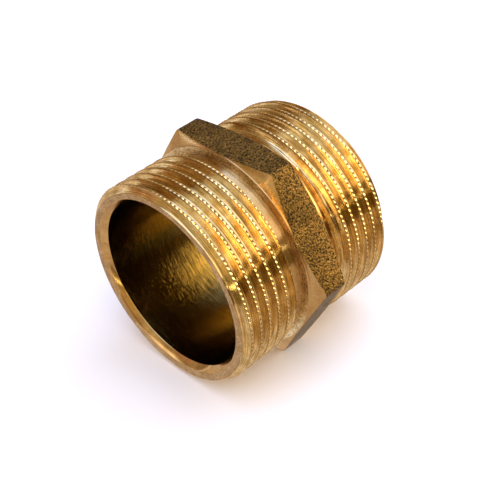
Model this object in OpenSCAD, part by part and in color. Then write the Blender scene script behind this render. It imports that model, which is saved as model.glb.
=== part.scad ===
// Hex nipple: one brass forging, bored right through, with a male pipe thread on each end.
// The bore axis is X, the front end points to -X, and the two flats that face +Z and -Z are level.
// Origin: on the bore axis, midway between the two end faces. Millimetres.

/* [Hexagon] */
// Width across the flats
across_flats = 42; // [36:0.5:50]
// Distance between the two side faces of the hexagon
hex_width = 7.4; // [5:0.1:14]
// Angle of the corner chamfers, from the side face
chamfer_angle = 18.5; // [10:0.5:35]
// Radius that the turned corners are rounded down to
corner_radius = 24.05; // [21:0.05:29]
// Outer radius of the turned side face
side_face_radius = 20.95; // [18:0.05:25]

/* [Ends] */
// Distance from the front end face to the hexagon
front_length = 15.95; // [10:0.05:24]
// Distance from the rear end face to the hexagon
rear_length = 15.25; // [10:0.05:24]
// Radius of the neck between thread and hexagon
neck_radius = 19.1; // [17:0.05:21]
// Length of the neck
neck_length = 1.75; // [0.5:0.05:5]
// Height of the fillet between neck and side face
fillet = 0.4; // [0.1:0.05:1]

/* [Pipe thread] */
// Outside diameter of the thread, as made
thread_diameter = 41.6; // [26:0.05:60]
// Threads in 25.4 mm
threads_per_inch = 11; // [8:1:19]
// Depth of the thread, as a share of its pitch
depth_ratio = 0.6403; // [0.5:0.0001:0.7]
// Angle between the two flanks
flank_angle = 55; // [50:1:60]
// Radius where the 45 degree end chamfer meets the end face
chamfer_radius = 19.9; // [17:0.05:22]
// Distance from the end of a ridge to the hexagon
ridge_stop = 2.45; // [1:0.05:6]
// Angle over which a ridge grows or fades out
fade_angle = 80; // [20:5:180]
// Angle about the axis where the front ridge starts
front_start = 285; // [0:1:360]
// The same for the rear ridge, seen from its own end
rear_start = 150; // [0:1:360]

/* [Bore] */
// Radius of the through bore
bore_radius = 17.2; // [12:0.05:20]
// Depth of the 45 degree countersink at each mouth
countersink = 1.05; // [0.2:0.05:2]

/* [Hidden] */
$fn = 96;
inch = 25.4;
steps_per_turn = 60;
// How deep a ridge sits in the body, so that the two are one
seat = 0.1;
gap = 0.01;
pitch = inch / threads_per_inch;
thread_radius = thread_diameter / 2;
root_radius = thread_radius - depth_ratio * pitch;
ridge_height = thread_radius - root_radius;
flank_run = tan(flank_angle / 2);
// The flats of crest and root are equal, as the flanks cut both off alike
half_crest = (pitch - 2 * ridge_height * flank_run) / 4;
half_seat = half_crest + (ridge_height + seat) * flank_run;
half_hex = hex_width / 2;
end_x = (front_length + hex_width + rear_length) / 2;
hex_x = front_length + half_hex - end_x;
chamfer_drop = (corner_radius - side_face_radius) * tan(chamfer_angle);
fade_steps = fade_angle / 360 * steps_per_turn;
// A ridge starts with its middle this far in, where the end face halves it
first_ridge = 0.05;

// Turns an outline about X: each point is its radius and its place along X
module turned(outline) {
    rotate([0, 90, 0]) rotate_extrude() polygon(outline);
}

// Bore with a countersink at both mouths, as one cutter
module through_bore() {
    mouth = bore_radius + countersink + gap;
    turned([
        [0, -end_x - gap], [mouth, -end_x - gap], [bore_radius, countersink - end_x],
        [bore_radius, end_x - countersink], [mouth, end_x + gap], [0, end_x + gap]
    ]);
}

// Turned body from face to face, with a neck beside each face of the hexagon
module bored_body() {
    front_neck = hex_x - half_hex - neck_length;
    rear_neck = hex_x + half_hex + neck_length;
    step = root_radius - neck_radius;
    color("#b08a4a")
        difference() {
            turned([
                [0, -end_x], [root_radius, -end_x], [root_radius, front_neck - step],
                [neck_radius, front_neck], [neck_radius, rear_neck],
                [root_radius, rear_neck + step], [root_radius, end_x], [0, end_x]
            ]);
            through_bore();
        }
}

// Hexagon with turned side faces, chamfered and rounded corners, and a fillet at each neck
module hex_collar() {
    side = [
        [corner_radius, half_hex - chamfer_drop], [side_face_radius, half_hex],
        [neck_radius + fillet, half_hex], [neck_radius, half_hex + fillet]
    ];
    flipped = [for (i = [len(side) - 1:-1:0]) [side[i][0], -side[i][1]]];
    color("#8a6a36")
        translate([hex_x, 0, 0])
            difference() {
                intersection() {
                    rotate([0, 90, 0]) rotate([0, 0, 30])
                        cylinder(r = across_flats / 2 / cos(30), h = 2 * hex_width,
                                 center = true, $fn = 6);
                    turned(concat([[0, -half_hex - fillet]], flipped, side,
                                  [[0, half_hex + fillet]]));
                }
                rotate([0, 90, 0]) cylinder(r = neck_radius, h = 2 * hex_width, center = true);
            }
}

// Share of the full ridge height at step i of n, growing over the fade angle at both ends
function fade(i, n) = min(1, (i + 1) / fade_steps, (n - i + 1) / fade_steps);

// Radius of the crest at x, under the 45 degree chamfer of the end face
function crest_radius(x) = min(thread_radius, chamfer_radius + end_x + x);

function ring_point(x, r, turn) = [max(x, -end_x), r * cos(turn), r * sin(turn)];

// The four corners of the ridge at x, with the part beyond the end face cut off
function ridge_section(x, turn, share) =
    let(top = root_radius + share * (crest_radius(x) - root_radius),
        half_top = half_seat - (top - root_radius + seat) * flank_run)
    [
        ring_point(x - half_seat, root_radius - seat, turn),
        ring_point(x - half_top, top, turn),
        ring_point(x + half_top, top, turn),
        ring_point(x + half_seat, root_radius - seat, turn)
    ];

// Right-hand helical ridge on an end that points to -X
module ridge(end_length, start) {
    steps = round((end_length - ridge_stop - first_ridge) / pitch * steps_per_turn);
    points = [for (i = [0:steps])
        each ridge_section(first_ridge - end_x + i * pitch / steps_per_turn,
                           start + i * 360 / steps_per_turn, fade(i, steps))];
    last = 4 * steps;
    faces = concat(
        [[3, 2, 1, 0]],
        [for (i = [0:steps - 1], k = [0:3])
            let(a = 4 * i + k, b = 4 * i + (k + 1) % 4)
            each [[a, b, b + 4], [a, b + 4, a + 4]]],
        [[last, last + 1, last + 2, last + 3]]
    );
    polyhedron(points, faces);
}

module front_thread() {
    color("#c9a255") ridge(front_length, front_start);
}

// Turned end for end, not mirrored, so it stays right-hand
module rear_thread() {
    color("#c9a255") rotate([0, 0, 180]) ridge(rear_length, rear_start);
}

bored_body();
hex_collar();
front_thread();
rear_thread();
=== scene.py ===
# Hex nipple in brass: a hexagon between two male pipe threads, bored right through.
# Metres. The bore runs along X, the front end points to -X, and the part lies on a flat with +Z up.
import math

import bmesh
import bpy
from mathutils import Matrix, Quaternion, Vector


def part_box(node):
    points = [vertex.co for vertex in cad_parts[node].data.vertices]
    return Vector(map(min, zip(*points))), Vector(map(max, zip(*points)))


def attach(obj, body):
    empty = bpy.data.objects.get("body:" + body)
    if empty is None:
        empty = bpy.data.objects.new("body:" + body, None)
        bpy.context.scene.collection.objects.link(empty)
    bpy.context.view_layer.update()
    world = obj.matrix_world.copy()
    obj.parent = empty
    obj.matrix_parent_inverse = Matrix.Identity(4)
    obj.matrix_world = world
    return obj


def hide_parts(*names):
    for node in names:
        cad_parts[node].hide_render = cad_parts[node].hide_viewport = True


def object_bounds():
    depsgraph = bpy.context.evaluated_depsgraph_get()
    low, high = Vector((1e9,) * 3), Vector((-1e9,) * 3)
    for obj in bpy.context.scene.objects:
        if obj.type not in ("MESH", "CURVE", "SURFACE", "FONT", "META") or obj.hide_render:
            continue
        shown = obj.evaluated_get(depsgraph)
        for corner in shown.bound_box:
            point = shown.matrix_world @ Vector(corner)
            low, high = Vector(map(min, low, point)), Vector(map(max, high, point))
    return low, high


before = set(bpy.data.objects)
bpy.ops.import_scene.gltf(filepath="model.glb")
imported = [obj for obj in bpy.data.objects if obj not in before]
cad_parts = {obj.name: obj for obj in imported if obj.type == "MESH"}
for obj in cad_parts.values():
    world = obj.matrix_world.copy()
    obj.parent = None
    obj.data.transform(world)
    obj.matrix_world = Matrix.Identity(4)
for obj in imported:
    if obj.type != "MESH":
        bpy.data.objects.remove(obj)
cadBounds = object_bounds()

mm = 0.001
fullTurn = 2 * math.pi

# the frame's own sizes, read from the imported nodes
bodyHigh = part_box("bored_body")[1]
hexLow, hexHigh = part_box("hex_collar")
endX = bodyHigh[0]
hexX = (hexLow[0] + hexHigh[0]) / 2
apothem = hexHigh[2]
floorZ = cadBounds[0][2]

print("stage: shapes")


def radiusOf(place):
    return math.hypot(place.y, place.z)


def shrinkTo(vert, radius):
    # move a vertex straight in towards the bore axis
    share = radius / radiusOf(vert.co)
    vert.co.y *= share
    vert.co.z *= share


def wholeMesh(bm):
    return bm.verts[:] + bm.edges[:] + bm.faces[:]


def finishMesh(bm, name, node, sharpAngle=32):
    bmesh.ops.recalc_face_normals(bm, faces=bm.faces)
    mesh = bpy.data.meshes.new(name)
    bm.to_mesh(mesh)
    bm.free()
    mesh.shade_smooth()
    mesh.set_sharp_from_angle(angle=math.radians(sharpAngle))
    piece = bpy.data.objects.new(name, mesh)
    bpy.context.scene.collection.objects.link(piece)
    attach(piece, "root")
    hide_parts(node)
    return piece


def turnedProfile(points, steps):
    # a closed outline of (place along X, radius), spun once about the bore axis
    bm = bmesh.new()
    verts = [bm.verts.new((x, r, 0)) for x, r in points]
    edges = [bm.edges.new(pair) for pair in zip(verts, verts[1:])]
    edges.append(bm.edges.new((verts[-1], verts[0])))
    bmesh.ops.spin(bm, geom=verts + edges, cent=(0, 0, 0), axis=(1, 0, 0), dvec=(0, 0, 0),
                   angle=fullTurn, steps=steps, use_merge=True)
    bmesh.ops.recalc_face_normals(bm, faces=bm.faces)
    return bm


def roundEdges(bm, edges, offset, segments=2):
    bmesh.ops.bevel(bm, geom=edges, offset=offset, offset_type="OFFSET", segments=segments,
                    profile=0.5, affect="EDGES", clamp_overlap=True, material=-1)


def sharpEdges(bm, degrees):
    return [e for e in bm.edges if len(e.link_faces) == 2
            and e.calc_face_angle() > math.radians(degrees)]


bodyLook = {
    "boreRadius": 17.2 * mm,
    "countersink": 1.05 * mm,
    "neckRadius": 19.1 * mm,
    "underThread": 19.0 * mm,     # the threads are sleeves over this
    "stepFrom": 0.4 * mm,         # the step up to the neck hides under the thread's last 0.4 mm
    "stepTo": 0.1 * mm,
    "edgeRound": 0.1 * mm,
    "frontThread": 13.7 * mm,     # how far each thread runs from its end face
    "rearThread": 13 * mm,
    "steps": 384,
}


def makeBody():
    look = bodyLook
    mouth = look["boreRadius"] + look["countersink"]
    frontNeck = look["frontThread"] - endX
    rearNeck = endX - look["rearThread"]
    under = look["underThread"]
    bm = turnedProfile([
        (-endX, mouth), (-endX, under), (frontNeck - look["stepFrom"], under),
        (frontNeck - look["stepTo"], look["neckRadius"]), (rearNeck + look["stepTo"], look["neckRadius"]),
        (rearNeck + look["stepFrom"], under), (endX, under), (endX, mouth),
        (endX - look["countersink"], look["boreRadius"]),
        (look["countersink"] - endX, look["boreRadius"]),
    ], look["steps"])
    mouths = [e for e in sharpEdges(bm, 30)
              if max(radiusOf(v.co) for v in e.verts) < mouth + 0.1 * mm]
    roundEdges(bm, mouths, look["edgeRound"])
    # slots: 1 the bore, 2 the end faces, 0 all else
    for f in bm.faces:
        inBore = radiusOf(f.calc_center_median()) < look["boreRadius"] + 0.02 * mm
        f.material_index = 1 if inBore else 2 if abs(f.normal.x) > 0.99 else 0
    return finishMesh(bm, "bored_body_turned", "bored_body")


collarLook = {
    "halfWidth": 3.7 * mm,
    "fillet": 0.12 * mm,
    "sideFaceRadius": 20.95 * mm,
    "cornerRadius": 24.05 * mm,
    "chamferAngle": 18.5,
    "ringStep": 0.2 * mm,         # the washer face stands this proud
    "ringLean": 0.4,              # its edge spreads by this share of the step
    "ringRound": 0.05 * mm,
    "flatEdgeRound": 0.07 * mm,
    "cornerRound": 0.12 * mm,
    "underNeck": 0.6 * mm,        # how deep the collar reaches into the body
    "steps": 360,
}


def makeCollar():
    look = collarLook
    half, fillet, step = look["halfWidth"], look["fillet"], look["ringStep"]
    faceRadius, cornerRadius = look["sideFaceRadius"], look["cornerRadius"]
    neck = bodyLook["neckRadius"]
    drop = (cornerRadius - faceRadius) * math.tan(math.radians(look["chamferAngle"]))
    side = [(half + fillet - fillet * math.sin(a), neck + fillet - fillet * math.cos(a))
            for a in map(math.radians, (0, 22, 45, 68, 90))]
    side += [(half, faceRadius), (half - step, faceRadius + step * look["ringLean"]),
             (half - step - drop, cornerRadius)]
    outline = [(hexX - x, r) for x, r in side] + [(hexX + x, r) for x, r in reversed(side)]
    outline += [(hexX + half + fillet, neck - look["underNeck"]),
                (hexX - half - fillet, neck - look["underNeck"])]
    bm = turnedProfile(outline, look["steps"])
    rings = [e for e in bm.edges
             if all(abs(radiusOf(v.co) - faceRadius) < 1e-6 for v in e.verts)
             and abs(e.verts[0].co.x - e.verts[1].co.x) < 1e-7]
    roundEdges(bm, rings, look["ringRound"])
    # six milled flats
    for k in range(6):
        turn = math.radians(90 + 60 * k)
        normal = Vector((0, math.cos(turn), math.sin(turn)))
        cut = bmesh.ops.bisect_plane(bm, geom=wholeMesh(bm), dist=1e-7,
                                     plane_co=normal * apothem, plane_no=normal, clear_outer=True)
        loop = [e for e in cut["geom_cut"] if isinstance(e, bmesh.types.BMEdge)]
        bmesh.ops.holes_fill(bm, edges=loop, sides=0)
    bmesh.ops.recalc_face_normals(bm, faces=bm.faces)
    alongX = lambda e: abs((e.verts[0].co - e.verts[1].co).normalized().x) > 0.9
    corners = [e for e in sharpEdges(bm, 20)
               if all(radiusOf(v.co) > cornerRadius - 0.02 * mm for v in e.verts) and alongX(e)]
    roundEdges(bm, corners, look["cornerRound"], 3)
    flats = [f for f in bm.faces if f.calc_area() > 20 * mm * mm]
    rim = [e for f in flats for e in f.edges if not alongX(e)]
    roundEdges(bm, rim, look["flatEdgeRound"])
    # slots: 0 the flats, 1 the side faces, 2 the chamfers between them
    for f in bm.faces:
        f.material_index = 0 if abs(f.normal.x) < 0.2 else 1 if abs(f.normal.x) > 0.985 else 2
    return finishMesh(bm, "hex_collar_milled", "hex_collar")


threadLook = {
    "radius": 20.8 * mm,
    "perInch": 11,
    "depthRatio": 0.6403,
    "flankAngle": 55,
    "crestWidth": 0.31 * mm,
    "hollow": 0.03 * mm,
    "chamferRadius": 19.9 * mm,
    "neckWallAngle": 66,
    "notchesPerTurn": 128,
    "stepsPerNotch": 4,
    "notchCut": (0, 0.1 * mm, 0.3 * mm, 0.1 * mm),
    "lipWidth": 0.09 * mm,
    "lipDepth": 0.2 * mm,
}


def threadOutline(pitch, radius, root):
    # one pitch of the thread, from the middle of one root to the next: (place, radius)
    look = threadLook
    flank = math.radians(look["flankAngle"] / 2)
    halfCrest = look["crestWidth"] / 2
    rootRound = (((pitch / 2 - halfCrest) / math.tan(flank) - (radius - root))
                 / (1 / math.sin(flank) - 1))
    arc = [math.radians(90 - math.degrees(flank)) * k / 5 for k in range(6)]
    rootArc = [(rootRound * math.sin(a), root + rootRound * (1 - math.cos(a))) for a in arc]
    onFlank = lambda depth: halfCrest + depth * math.tan(flank)
    lip = look["lipWidth"]
    front = [(x - pitch / 2, r) for x, r in rootArc]
    # the tool leaves each flank slightly hollow
    front += [(-onFlank(depth) + share * look["hollow"], radius - depth)
              for depth, share in ((1.0 * mm, 0.7), (0.75 * mm, 1), (0.5 * mm, 0.7))]
    # then the lip it raises, the narrow crest, and the rounded edge behind it
    front += [(-halfCrest - lip, radius - look["lipDepth"]), (-halfCrest - lip, radius - 0.05 * mm),
              (-halfCrest - lip + 0.05 * mm, radius)]
    top = [(-0.02 * mm, radius), (halfCrest - 0.08 * mm, radius)]
    rear = [(halfCrest - 0.01 * mm, radius - 0.04 * mm), (halfCrest + 0.03 * mm, radius - 0.12 * mm)]
    rear += [(onFlank(0.7 * mm), radius - 0.7 * mm)]
    rear += [(pitch / 2 - x, r) for x, r in reversed(rootArc[1:])]
    return front + top + rear


def screwTurn(points, pitch):
    # the outline swept through one notch, then copies of it screwed on until the turn is whole
    look = threadLook
    notches, steps = look["notchesPerTurn"], look["stepsPerNotch"]
    notch = fullTurn / notches
    bm = bmesh.new()
    verts = [bm.verts.new((x, r, 0)) for x, r in points]
    edges = [bm.edges.new(pair) for pair in zip(verts, verts[1:])]
    bmesh.ops.spin(bm, geom=verts + edges, cent=(0, 0, 0), axis=(1, 0, 0),
                   dvec=(pitch / notches / steps, 0, 0), angle=notch, steps=steps, use_merge=False)
    count = 1
    while count < notches:
        copy = bmesh.ops.duplicate(bm, geom=wholeMesh(bm))["geom"]
        moved = [g for g in copy if isinstance(g, bmesh.types.BMVert)]
        bmesh.ops.rotate(bm, verts=moved, cent=(0, 0, 0), matrix=Matrix.Rotation(notch * count, 3, "X"))
        bmesh.ops.translate(bm, verts=moved, vec=(pitch * count / notches, 0, 0))
        count *= 2
    bmesh.ops.remove_doubles(bm, verts=bm.verts, dist=0.001 * mm)
    return bm


def cutNotches(bm, pitch, phase, faceX, lastNotch):
    # only on full crests, and before any trimming, while each crest can be told from its place
    look = threadLook
    steps = look["stepsPerNotch"]
    notch = fullTurn / look["notchesPerTurn"]
    for v in bm.verts:
        r = radiusOf(v.co)
        if r < look["radius"] - 0.06 * mm or abs(v.co.x - faceX) > lastNotch:
            continue
        turn = math.atan2(v.co.z, v.co.y)
        along = (v.co.x - phase) / pitch - turn / fullTurn
        crest = (along - round(along)) * pitch
        cut = look["notchCut"][int(round((turn / notch) % 1 * steps)) % steps]
        slope = min(1, max(0, 0.75 + crest / (0.5 * mm)))
        shrinkTo(v, r - cut * slope)


def makeThread(name, node, faceSide, length, phase, lastNotch):
    # phase: where a crest crosses the +Y side, as a place along X
    look = threadLook
    pitch = 25.4 * mm / look["perInch"]
    radius = look["radius"]
    onePitch = threadOutline(pitch, radius, radius - look["depthRatio"] * pitch)
    turns = math.ceil(length / pitch) + 2
    faceX = faceSide * endX
    neckX = faceX - faceSide * length
    first = min(faceX, neckX) - pitch
    first = phase + math.floor((first - phase) / pitch) * pitch
    bm = screwTurn([(first + k * pitch + x, r) for k in range(turns) for x, r in onePitch], pitch)
    cutNotches(bm, pitch, phase, faceX, lastNotch)
    # cut to length at the end face and at the neck
    for x, side in ((faceX, faceSide), (neckX, -faceSide)):
        bmesh.ops.bisect_plane(bm, geom=wholeMesh(bm), dist=1e-8,
                               plane_co=(x, 0, 0), plane_no=(side, 0, 0), clear_outer=True)
    # the end chamfer and the neck's wall
    wall = math.tan(math.radians(look["neckWallAngle"]))
    for v in bm.verts:
        limit = min(look["chamferRadius"] + abs(v.co.x - faceX),
                    bodyLook["neckRadius"] + abs(v.co.x - neckX) * wall)
        if radiusOf(v.co) > limit:
            shrinkTo(v, limit)
    # close the sleeve with an inner wall
    rims = {}
    for e in bm.edges:
        if len(e.link_faces) == 1:
            rims.setdefault("face" if abs(e.verts[0].co.x - faceX) < 1e-6 else "neck", []).append(e)
    inner = []
    for loop in rims.values():
        made = bmesh.ops.extrude_edge_only(bm, edges=loop)["geom"]
        fresh = {g for g in made if isinstance(g, bmesh.types.BMVert)}
        for v in fresh:
            shrinkTo(v, bodyLook["underThread"])
        inner += [g for g in made if isinstance(g, bmesh.types.BMEdge) and all(v in fresh for v in g.verts)]
    bmesh.ops.bridge_loops(bm, edges=inner)
    # slots: 1 the end face, 0 the thread
    bm.normal_update()
    for f in bm.faces:
        f.material_index = 1 if abs(f.normal.x) > 0.99 else 0
    print(name, "triangles", sum(len(f.verts) - 2 for f in bm.faces))
    return finishMesh(bm, name, node, 38)


body = makeBody()
collar = makeCollar()
frontThread = makeThread("front_thread_cut", "front_thread", -1, bodyLook["frontThread"],
                         -endX + 0.533 * mm, 13.3 * mm)
rearThread = makeThread("rear_thread_cut", "rear_thread", 1, bodyLook["rearThread"],
                        7.514 * mm, 12.3 * mm)

print("stage: materials")


def linearColour(text):
    values = [int(text[i:i + 2], 16) / 255 for i in (1, 3, 5)]
    return [v / 12.92 if v <= 0.04045 else ((v + 0.055) / 1.055) ** 2.4 for v in values] + [1]


def addNode(tree, kind, settings=None, links=None):
    # text keys that the node has are its own settings, all others are sockets
    node = tree.nodes.new(kind)
    for key, value in (settings or {}).items():
        if isinstance(key, str) and hasattr(node, key):
            setattr(node, key, value)
        else:
            node.inputs[key].default_value = value
    for key, source in (links or {}).items():
        tree.links.new(source, node.inputs[key])
    return node


def roundPlaces(tree):
    # place, place along the bore axis, distance from it, and direction about it
    place = addNode(tree, "ShaderNodeTexCoord")
    xyz = addNode(tree, "ShaderNodeSeparateXYZ", {}, {0: place.outputs["Object"]})
    across = addNode(tree, "ShaderNodeCombineXYZ", {}, {1: xyz.outputs[1], 2: xyz.outputs[2]})
    radius = addNode(tree, "ShaderNodeVectorMath", {"operation": "LENGTH"}, {0: across.outputs[0]})
    outward = addNode(tree, "ShaderNodeVectorMath", {"operation": "NORMALIZE"}, {0: across.outputs[0]})
    return place.outputs["Object"], xyz.outputs[0], radius.outputs["Value"], outward.outputs[0]


def shadeAbout(tree, noise, low, high, middle, spread):
    # a noise that mostly lies from low to high, turned into shades about the middle one
    return addNode(tree, "ShaderNodeMapRange", {1: low, 2: high, 3: middle - spread, 4: middle + spread},
                   {0: noise.outputs[0]})


def makeBrass(name, look):
    # warm yellow metal, deeper and browner where it reflects itself
    material = bpy.data.materials.new(name)
    material.use_nodes = True
    tree = material.node_tree
    shader = tree.nodes["Principled BSDF"]
    shader.inputs["Metallic"].default_value = 1
    whole, along, radius, outward = roundPlaces(tree)
    # lines left by the tool run round the axis: fine across, long along the turn
    across = addNode(tree, "ShaderNodeMath", {"operation": "MULTIPLY_ADD", 1: look["drift"]},
                     {0: along, 2: radius})
    fine = addNode(tree, "ShaderNodeMath", {"operation": "DIVIDE", 1: look["linePitch"]},
                   {0: across.outputs[0]})
    long = addNode(tree, "ShaderNodeVectorMath", {"operation": "SCALE", "Scale": look["lineTurns"]},
                   {0: outward})
    lines = addNode(tree, "ShaderNodeTexNoise",
                    {"noise_dimensions": "4D", "Scale": 1, "Detail": 3, "Roughness": 0.65},
                    {"Vector": long.outputs[0], "W": fine.outputs[0]})
    grain = addNode(tree, "ShaderNodeTexNoise", {"Scale": 1 / look["grain"], "Detail": 2, "Roughness": 0.7},
                    {"Vector": whole})
    cloud = addNode(tree, "ShaderNodeTexNoise", {"Scale": 1 / look["cloud"], "Detail": 2},
                    {"Vector": whole})
    # colour: clouds of tarnish, then darker and lighter lines, then grain
    tint = addNode(tree, "ShaderNodeValToRGB", {}, {0: cloud.outputs[0]})
    for element, spot, colour in zip(tint.color_ramp.elements, (0.3, 0.7), (look["deep"], look["pale"])):
        element.position, element.color = spot, linearColour(colour)
    lineShade = shadeAbout(tree, lines, 0.3, 0.7, 1, look["lineShade"])
    grainShade = shadeAbout(tree, grain, 0.35, 0.65, 1, look["grainShade"])
    shade = addNode(tree, "ShaderNodeMath", {"operation": "MULTIPLY"},
                    {0: lineShade.outputs[0], 1: grainShade.outputs[0]})
    colour = addNode(tree, "ShaderNodeVectorMath", {"operation": "SCALE"},
                     {0: tint.outputs[0], "Scale": shade.outputs[0]})
    rough = shadeAbout(tree, lines, 0.3, 0.7, look["rough"], look["rough"] * 0.2)
    lineBump = addNode(tree, "ShaderNodeBump", {"Strength": 1, "Distance": look["lineDepth"]},
                       {"Height": lines.outputs[0]})
    grainBump = addNode(tree, "ShaderNodeBump", {"Strength": 1, "Distance": look["grainDepth"]},
                        {"Height": grain.outputs[0], "Normal": lineBump.outputs[0]})
    for socket, node in (("Base Color", colour), ("Roughness", rough), ("Normal", grainBump)):
        tree.links.new(node.outputs[0], shader.inputs[socket])
    return material


# linePitch across the lines, lineTurns their waves about the axis, drift how far they follow X
turnedLook = {
    "deep": "#AD8650", "pale": "#CBAA7A", "cloud": 5 * mm,
    "linePitch": 0.14 * mm, "lineTurns": 5, "drift": 1, "lineShade": 0.2, "lineDepth": 0.012 * mm,
    "grain": 0.35 * mm, "grainShade": 0.1, "grainDepth": 0.004 * mm, "rough": 0.12,
}
# painted shade: the bore's base colours are set darker than the turned brass outside, standing in for the shade
# inside the bore; the scored lines are real
borePaintedShadeLook = dict(turnedLook, deep="#75602F", pale="#806A38", cloud=8 * mm, linePitch=0.15 * mm,
                lineShade=0.8, lineDepth=0.03 * mm)
endLook = dict(turnedLook, deep="#A3825A", pale="#BFA582", cloud=2 * mm,
               grainShade=0.3, grainDepth=0.01 * mm, rough=0.2)
cutLook = dict(turnedLook, deep="#BE9C60", pale="#DCC290", cloud=2.4 * mm, linePitch=0.12 * mm,
               lineTurns=3, drift=0.2, lineShade=0.7, lineDepth=0.02 * mm, rough=0.08)
sideLook = dict(turnedLook, deep="#BFA577", pale="#EBDDC0", linePitch=0.25 * mm,
                lineTurns=24, drift=0, lineShade=0.5, grainShade=0.3, rough=0.3)
blastedLook = {
    "deep": "#4A3716", "pale": "#6E5327", "cloud": 6 * mm,
    "linePitch": 2 * mm, "lineTurns": 8, "drift": 1, "lineShade": 0.08, "lineDepth": 0.01 * mm,
    "grain": 0.36 * mm, "grainShade": 1, "grainDepth": 0.3 * mm, "rough": 0.42,
}
finishes = {name: makeBrass(name, look) for name, look in (
    ("turned brass", turnedLook),         # lathe cut: fine rings, soft long streaks
    ("bored brass with painted shade", borePaintedShadeLook),            # drilled and left, scored round and round; its darker base is painted shade inside the bore
    ("faced end brass", endLook),         # end faces, handled: duller, faintly grainy
    ("die cut brass", cutLook),           # bright flanks with lines along the thread
    ("faced brass", sideLook),            # hexagon sides: mottled rings
    ("blasted brass", blastedLook),       # flats as forged and shot blasted: speckled
)}
for piece, names in ((body, ("turned brass", "bored brass with painted shade", "faced end brass")),
                     (collar, ("blasted brass", "faced brass", "turned brass")),
                     (frontThread, ("die cut brass", "faced end brass")),
                     (rearThread, ("die cut brass", "faced end brass"))):
    for finish in names:
        piece.data.materials.append(finishes[finish])

print("stage: studio")

cameraLook = {"azimuth": 41.59, "elevation": 37.83, "roll": 5.51, "distance": 213.1 * mm,
              "aim": (-0.15 * mm, -0.23 * mm, -0.35 * mm), "lens": 83.29, "sensor": 36}


def makeCamera():
    look = cameraLook
    turn, tilt = math.radians(look["azimuth"]), math.radians(look["elevation"])
    view = Vector((math.sin(turn) * math.cos(tilt), math.cos(turn) * math.cos(tilt), -math.sin(tilt)))
    data = bpy.data.cameras.new("camera")
    data.lens, data.sensor_width = look["lens"], look["sensor"]
    data.clip_start, data.clip_end = 0.01, 10
    camera = bpy.data.objects.new("camera", data)
    bpy.context.scene.collection.objects.link(camera)
    camera.rotation_mode = "QUATERNION"
    camera.rotation_quaternion = Quaternion(view, math.radians(look["roll"])) @ view.to_track_quat("-Z", "Y")
    camera.location = Vector(look["aim"]) - view * look["distance"]
    bpy.context.scene.camera = camera


def stageMesh(bm, name):
    mesh = bpy.data.meshes.new(name)
    bm.to_mesh(mesh)
    bm.free()
    thing = bpy.data.objects.new(name, mesh)
    bpy.context.scene.collection.objects.link(thing)
    return thing


def makeFloor():
    # matt white card: bright, with a soft shadow
    bm = bmesh.new()
    bmesh.ops.create_grid(bm, x_segments=1, y_segments=1, size=2)
    bmesh.ops.translate(bm, verts=bm.verts, vec=(0, 0, floorZ))
    material = bpy.data.materials.new("pale floor")
    material.use_nodes = True
    shader = material.node_tree.nodes["Principled BSDF"]
    shader.inputs["Base Color"].default_value = linearColour("#FFF8F0")
    shader.inputs["Roughness"].default_value = 0.8
    stageMesh(bm, "floor").data.materials.append(material)


# colours here and below are light, so they are linear and may pass 1
worldLook = {
    "scale": 4,
    # by the angle about X, from the +Y side up and over to the -Y side
    "ring": [(0, (0.45, 0.33, 0.2)), (58, (0.5, 0.37, 0.22)), (66, (1.3, 1.6, 2.5)), (90, (1.6, 1.9, 2.8)),
             (124, (1.8, 1.9, 2.2)), (134, (1.6, 1.4, 1.2)), (156, (1.9, 1.7, 1.4)), (159.5, (0.5, 0.36, 0.19)),
             (168, (0.4, 0.28, 0.13)), (168.6, (4, 3.7, 2.4)), (169.4, (4, 3.7, 2.4)), (170, (0.3, 0.22, 0.1)),
             (180, (0.3, 0.22, 0.1))],
    # ahead of the front end, where the direction's X passes these, another light takes over
    "frontEdge": (-0.8, -0.68),
    "frontDim": (0.6, 0.42, 0.24),
    "frontBright": (1.9, 1.7, 1.4),
    "brightEdge": (0, 0.35),      # bright where the direction's Y is past these
}


def makeWorld():
    look = worldLook
    world = bpy.data.worlds.new("studio")
    bpy.context.scene.world = world
    world.use_nodes = True
    tree = world.node_tree
    tree.nodes.clear()
    dim = lambda colour: [c / look["scale"] for c in colour] + [1]
    place = addNode(tree, "ShaderNodeTexCoord")
    xyz = addNode(tree, "ShaderNodeSeparateXYZ", {}, {0: place.outputs["Generated"]})
    turn = addNode(tree, "ShaderNodeMath", {"operation": "ARCTAN2"}, {0: xyz.outputs[2], 1: xyz.outputs[1]})
    share = addNode(tree, "ShaderNodeMath", {"operation": "DIVIDE", 1: math.pi}, {0: turn.outputs[0]})
    ring = addNode(tree, "ShaderNodeValToRGB", {}, {0: share.outputs[0]})
    while len(ring.color_ramp.elements) < len(look["ring"]):
        ring.color_ramp.elements.new(0.5)
    for element, (degrees, colour) in zip(ring.color_ramp.elements, look["ring"]):
        element.position = degrees / 180
        element.color = dim(colour)
    front, side = (addNode(tree, "ShaderNodeMapRange",
                           {"interpolation_type": "SMOOTHSTEP", 1: look[edge][0], 2: look[edge][1], 3: 1, 4: 0},
                           {0: xyz.outputs[axis]})
                   for edge, axis in (("frontEdge", 0), ("brightEdge", 1)))
    glow = addNode(tree, "ShaderNodeMix",
                   {"data_type": "RGBA", 6: dim(look["frontBright"]), 7: dim(look["frontDim"])},
                   {0: side.outputs[0]})
    whole = addNode(tree, "ShaderNodeMix", {"data_type": "RGBA"},
                    {0: front.outputs[0], 6: ring.outputs[0], 7: glow.outputs[2]})
    back = addNode(tree, "ShaderNodeBackground", {"Strength": look["scale"]}, {0: whole.outputs[2]})
    addNode(tree, "ShaderNodeOutputWorld", {}, {0: back.outputs[0]})


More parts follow.
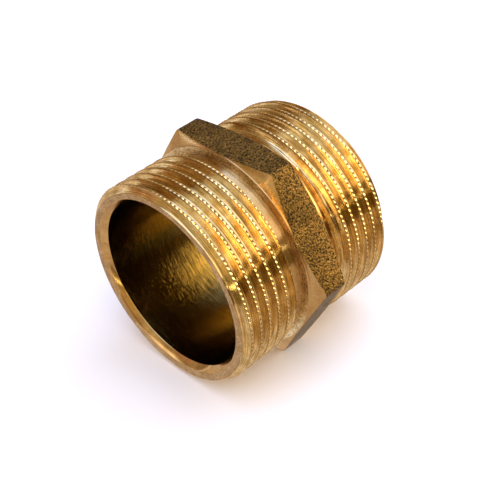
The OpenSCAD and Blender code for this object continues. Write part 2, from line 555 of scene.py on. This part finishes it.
def makeCard(name, corners, colour):
    # a flag or reflector of the studio, met only by reflections
    bm = bmesh.new()
    bm.faces.new([bm.verts.new(c) for c in corners])
    material = bpy.data.materials.new(name)
    material.use_nodes = True
    tree = material.node_tree
    tree.nodes.clear()
    glow = addNode(tree, "ShaderNodeEmission", {"Color": [*colour, 1]})
    addNode(tree, "ShaderNodeOutputMaterial", {}, {0: glow.outputs[0]})
    card = stageMesh(bm, name)
    card.data.materials.append(material)
    card.visible_camera = False
    card.visible_diffuse = False
    card.visible_shadow = False


cardLook = {
    # upright, from (x, y) to (x, y), with the height of the top edge
    "upright": {
        "side flag": ((-0.15, -0.17), (0.3, -0.17), 0.03, (0.3, 0.22, 0.1)),
        "far edge": ((-1, 0.5), (-0.1, 1.1), floorZ + 0.02, (2.2, 2.3, 2.4)),
        "side glow": ((0.25, -0.28), (0.25, -0.02), 0.3, (7, 5.6, 3.3)),
    },
    # just over the floor, which reflections so meet as warmer
    "tintLow": (-0.5, -0.5), "tintHigh": (0.5, 0.4), "tintLift": 0.0002, "tint": (0.82, 0.68, 0.54),
    # a fan of strips ahead of the front end, edge by edge from the top down:
    # across and up in mm at one end of the edge, then at the other, then the strip's colour below it
    "fanX": -60 * mm,
    "fan": [
        (61, 1, 83, 34, (0.6, 0.36, 0.22)), (34, 8, 30, 42, (0.6, 0.45, 0.25)),
        (19, 6, 5, 39, (0.7, 0.6, 0.38)), (11, 3, -9, 33, (0.8, 0.65, 0.36)),
        (4, -1, -20, 25, (0.9, 0.7, 0.32)), (-1, -7, -28, 16, (0.8, 0.55, 0.22)),
        (-3, -10, -32, 11, (0.4, 0.3, 0.12)), (-5, -14, -36, 4, (5, 4, 1.8)),
        (-6, -15, -37, 2, (0.3, 0.22, 0.09)), (-8, -23, -41, -11, None),
    ],
}


def makeCards():
    look = cardLook
    for name, (start, end, top, colour) in look["upright"].items():
        makeCard(name, [(*start, floorZ), (*end, floorZ), (*end, top), (*start, top)], colour)
    (x0, y0), (x1, y1) = look["tintLow"], look["tintHigh"]
    lift = floorZ + look["tintLift"]
    makeCard("floor tint", [(x0, y0, lift), (x1, y0, lift), (x1, y1, lift), (x0, y1, lift)], look["tint"])
    for above, below in zip(look["fan"], look["fan"][1:]):
        spots = (above[:2], above[2:4], below[2:4], below[:2])
        makeCard("fan strip", [(look["fanX"], y * mm, z * mm) for y, z in spots], above[4])


makeCamera()
makeFloor()
makeWorld()
makeCards()
bpy.context.scene.view_settings.view_transform = "Standard"
